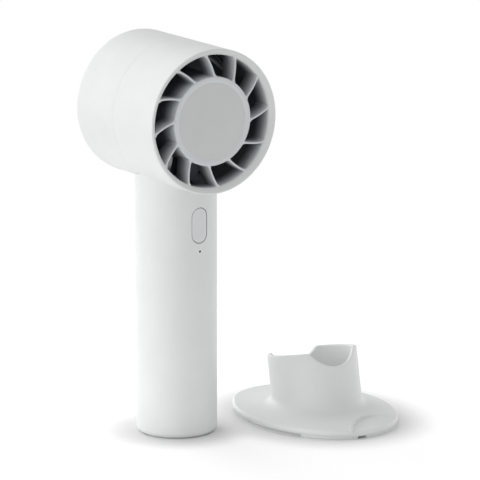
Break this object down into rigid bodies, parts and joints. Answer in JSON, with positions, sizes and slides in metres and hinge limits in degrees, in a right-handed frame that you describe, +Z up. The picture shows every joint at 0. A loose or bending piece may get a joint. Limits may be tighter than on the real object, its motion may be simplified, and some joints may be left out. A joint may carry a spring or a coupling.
{
  "type": "handheld electric fan",
  "caption": "Handheld electric fan with a ducted round head on a cylindrical grip, beside its desk stand, a tilted scalloped cup on an oval foot.",
  "frame": {"origin": "centre of the grip's base, on the surface that the fan stands on", "axes": "+Z up along the grip's axis, -Y the way the air leaves the head, +X towards the stand"},
  "size_m": [0.1338, 0.096, 0.1822],
  "materials": {
    "shell_white": "satin",
    "grille_white": "satin",
    "hub_grey": "matt",
    "button_white": "satin",
    "impeller_grey": "satin",
    "mount_alloy": "machined",
    "steel": "ground",
    "screw_steel": "zinc plated",
    "magnet": "matt",
    "core_steel": "laminated",
    "copper": "enamelled wire",
    "board_green": "satin",
    "part_black": "satin",
    "socket_ivory": "satin",
    "light_smoke": "smoked",
    "frame_grey": "matt",
    "cell_wrap": "shrink film",
    "nickel": "satin",
    "lead_red": "satin",
    "lead_amber": "satin",
    "plate_grey": "matt",
    "ballast_steel": "zinc plated",
    "pad_rubber": "matt"
  },
  "bodies": {
    "fan": {"main_shell": "shell_white", "rear_shell": "shell_white", "outlet_ring": "grille_white", "guide_vanes": "grille_white", "hub_shell": "grille_white", "hub_disc": "hub_grey", "motor_pod": "grille_white", "intake_grille": "grille_white", "motor_mount": "mount_alloy", "mount_screws": "screw_steel", "motor_board": "board_green", "stator_core": "core_steel", "stator_coils": "copper", "bearings": "steel", "switch_body": "nickel", "status_light": "light_smoke", "light_pipe": "light_smoke", "circuit_board": "board_green", "control_chip": "part_black", "power_coil": "part_black", "lead_sockets": "socket_ivory", "usb_port": "steel", "usb_tongue": "part_black", "chassis": "frame_grey", "battery_cell": "cell_wrap", "cell_tabs": "nickel", "battery_leads": "lead_red", "motor_leads": "lead_amber", "base_cap": "shell_white", "base_screws": "screw_steel"},
    "rotor": {"impeller_hub": "impeller_grey", "impeller_blades": "impeller_grey", "rotor_cup": "steel", "rotor_magnet": "magnet", "shaft": "steel", "shaft_clip": "steel"},
    "button": {"power_button": "button_white", "switch_stem": "part_black"},
    "stand": {"stand_cup": "shell_white", "stand_foot": "shell_white", "stand_plate": "plate_grey", "stand_ballast": "ballast_steel", "stand_pads": "pad_rubber", "stand_screws": "screw_steel"}
  },
  "joints": [
    {"name": "rotor_spin", "type": "hinge", "parent": "fan", "child": "rotor", "pos_m": [0, 0, 0.1492], "axis": [0, 1, 0], "continuous": true},
    {"name": "button_press", "type": "slide", "parent": "fan", "child": "button", "axis": [0, 1, 0], "range_m": [0, 0.0004], "stiffness_N_per_m": 3000, "springref_m": -0.0002},
    {"name": "stand_slide", "type": "slide", "parent": "fan", "child": "stand", "axis": [1, 0, 0], "range_m": [0, 0.1]}
  ]
}
